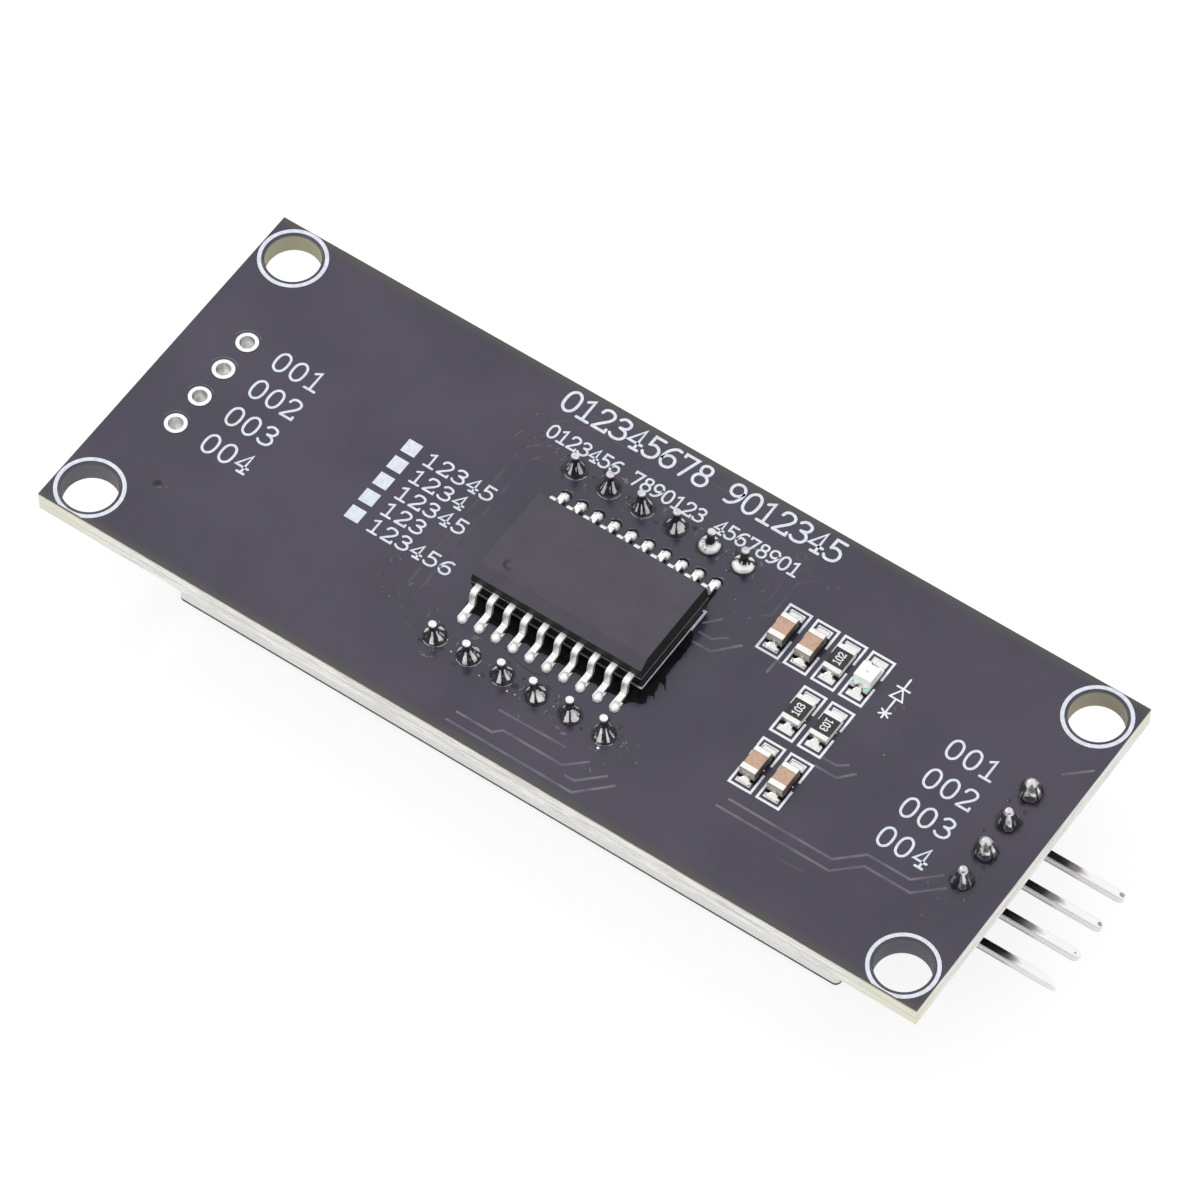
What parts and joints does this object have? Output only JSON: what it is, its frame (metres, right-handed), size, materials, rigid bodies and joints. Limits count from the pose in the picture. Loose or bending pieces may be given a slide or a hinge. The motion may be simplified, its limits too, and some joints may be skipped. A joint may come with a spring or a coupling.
{
  "type": "seven segment display module",
  "caption": "Flat circuit board with a segmented numeric display on one side, and a driver chip, small surface-mount parts and a right-angle pin header on the other.",
  "frame": {"origin": "centre of the display's front face, on which the module lies with its component side up", "axes": "+X along the board towards the header pins, +Y across the board towards the far row of display pins, +Z out of the component side"},
  "size_m": [0.0702, 0.0262, 0.012],
  "materials": {
    "board_mask": "dark satin solder mask over glass-fibre laminate",
    "tinned_copper": "bright tin",
    "solder": "bright solder with flux traces",
    "white_ink": "white legend ink",
    "chip_mould": "matte dark moulding",
    "lead_metal": "bright tin plate",
    "tan_ceramic": "satin tan ceramic",
    "white_ceramic": "matte white ceramic",
    "dark_glaze": "dark glaze",
    "end_metal": "satin tin",
    "light_base": "white laminate",
    "light_lens": "clear resin",
    "die_metal": "die",
    "black_moulding": "black moulding",
    "pin_metal": "bright plated pin",
    "case_plastic": "pale moulded plastic",
    "front_ink": "matte dark front",
    "segment_resin": "milky cast resin",
    "carrier_laminate": "green laminate",
    "potting_resin": "cast resin"
  },
  "bodies": {
    "root": {"capacitor_1_block": "tan_ceramic", "capacitor_1_ends": "end_metal", "capacitor_2_block": "tan_ceramic", "capacitor_2_ends": "end_metal", "capacitor_3_block": "tan_ceramic", "capacitor_3_ends": "end_metal", "capacitor_4_block": "tan_ceramic", "capacitor_4_ends": "end_metal", "chip_body": "chip_mould", "chip_lands": "tinned_copper", "chip_leads_far": "lead_metal", "chip_leads_near": "lead_metal", "chip_solder": "solder", "circuit_board": "board_mask", "colon_dots": "segment_resin", "digit_1_segments": "segment_resin", "digit_2_segments": "segment_resin", "digit_3_segments": "segment_resin", "digit_4_segments": "segment_resin", "display_carrier": "carrier_laminate", "display_case": "case_plastic", "display_dies": "die_metal", "display_front": "front_ink", "display_hole_pads": "tinned_copper", "display_pins_far": "pin_metal", "display_pins_near": "pin_metal", "display_potting": "potting_resin", "display_solder": "solder", "header_hole_pads": "tinned_copper", "header_insulator": "black_moulding", "header_pin_1": "pin_metal", "header_pin_2": "pin_metal", "header_pin_3": "pin_metal", "header_pin_4": "pin_metal", "header_solder": "solder", "resistor_1_base": "white_ceramic", "resistor_1_cover": "dark_glaze", "resistor_1_ends": "end_metal", "resistor_2_base": "white_ceramic", "resistor_2_cover": "dark_glaze", "resistor_2_ends": "end_metal", "resistor_3_base": "white_ceramic", "resistor_3_cover": "dark_glaze", "resistor_3_ends": "end_metal", "small_part_lands": "tinned_copper", "small_part_solder": "solder", "spare_hole_pads": "tinned_copper", "status_light_base": "light_base", "status_light_die": "die_metal", "status_light_ends": "end_metal", "status_light_lens": "light_lens", "white_print": "white_ink"}
  },
  "joints": []
}
